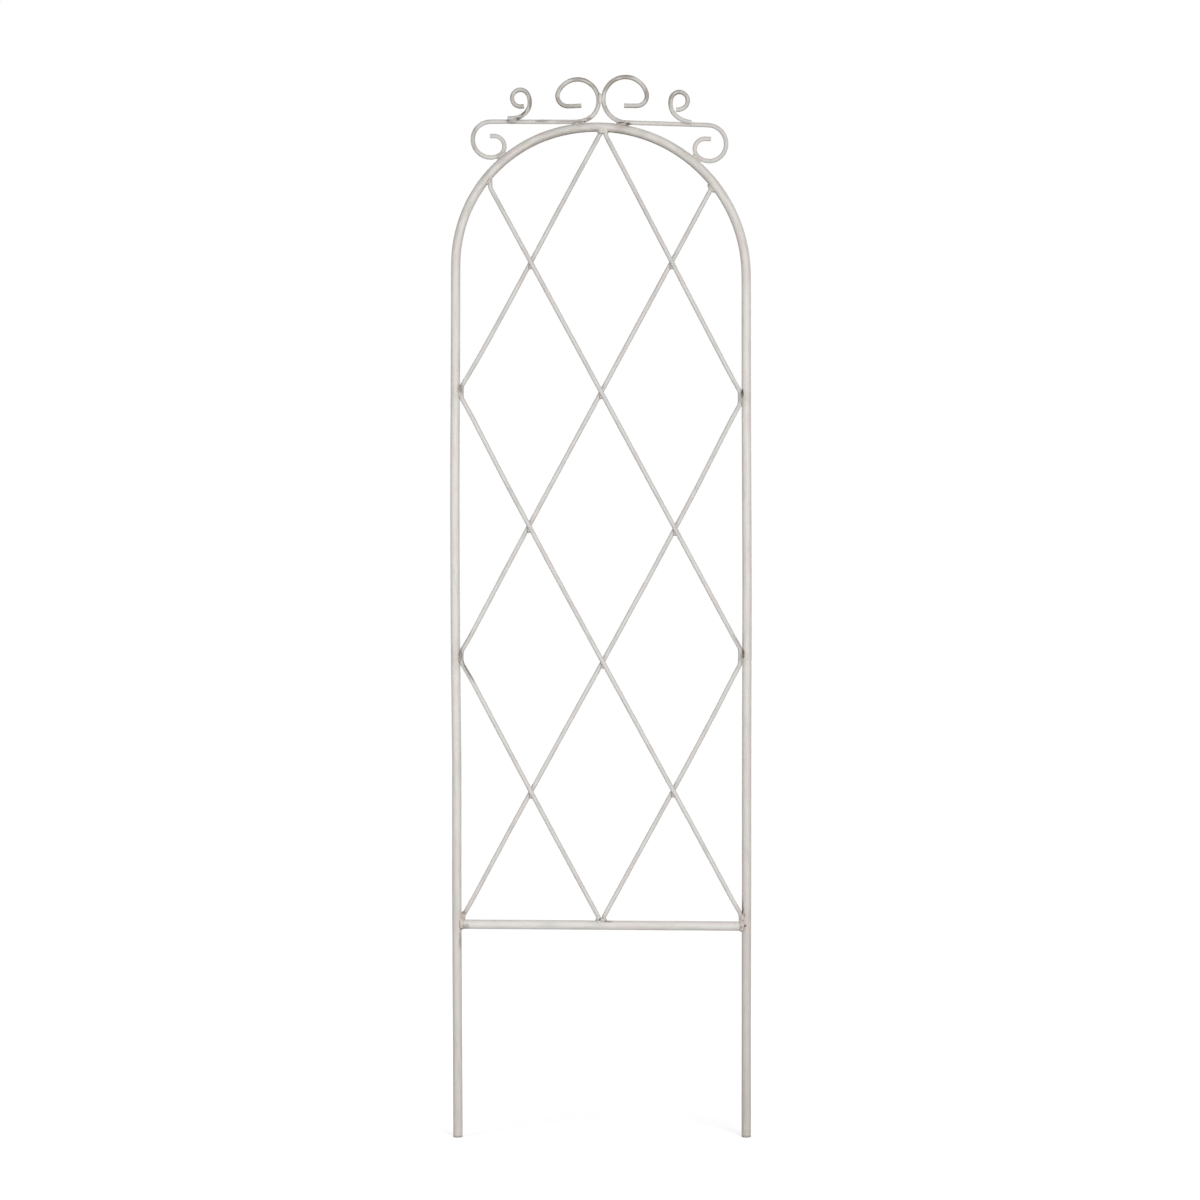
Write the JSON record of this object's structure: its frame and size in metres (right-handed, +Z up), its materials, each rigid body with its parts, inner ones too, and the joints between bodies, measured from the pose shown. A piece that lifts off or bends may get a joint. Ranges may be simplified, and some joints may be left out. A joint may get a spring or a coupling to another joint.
{
  "type": "pot trellis",
  "caption": "Narrow garden trellis for a plant pot: a tube hoop on straight legs with a crossbar, a diamond lattice of thin rods and a crest of scrolls.",
  "frame": {"origin": "on the ground line, midway between the outer sides of the two legs", "axes": "+Z up along the legs, +X to the right as seen from the front, +Y away from the viewer"},
  "size_m": [0.3402, 0.0146, 1.199],
  "materials": {
    "frame_enamel": "off-white antique enamel, brushed with a thin grey-brown patina",
    "rod_enamel": "off-white antique enamel, brushed with a thin grey-brown patina",
    "weld_enamel": "the same enamel over rough weld metal, browner where it is thin"
  },
  "bodies": {
    "root": {"frame_hoop": "frame_enamel", "crossbar": "frame_enamel", "lattice_rod_1": "rod_enamel", "lattice_rod_2": "rod_enamel", "lattice_rod_3": "rod_enamel", "lattice_rod_4": "rod_enamel", "left_scroll": "rod_enamel", "right_scroll": "rod_enamel", "left_small_curl": "rod_enamel", "right_small_curl": "rod_enamel", "weld_crossbar_left": "weld_enamel", "weld_crossbar_right": "weld_enamel", "weld_left_upper": "weld_enamel", "weld_left_lower": "weld_enamel", "weld_right_upper": "weld_enamel", "weld_right_lower": "weld_enamel", "weld_top_centre": "weld_enamel", "weld_top_left": "weld_enamel", "weld_top_right": "weld_enamel", "weld_corner_left": "weld_enamel", "weld_corner_right": "weld_enamel", "weld_bottom_centre": "weld_enamel", "weld_crossing_1": "weld_enamel", "weld_crossing_2": "weld_enamel", "weld_crossing_3": "weld_enamel", "weld_crossing_4": "weld_enamel", "weld_crossing_5": "weld_enamel", "weld_crossing_6": "weld_enamel", "weld_crossing_7": "weld_enamel", "weld_crossing_8": "weld_enamel", "weld_scrolls": "weld_enamel", "weld_crown_left": "weld_enamel", "weld_crown_right": "weld_enamel", "weld_hook_left": "weld_enamel", "weld_hook_right": "weld_enamel", "weld_curl_left": "weld_enamel", "weld_curl_right": "weld_enamel"}
  },
  "joints": []
}
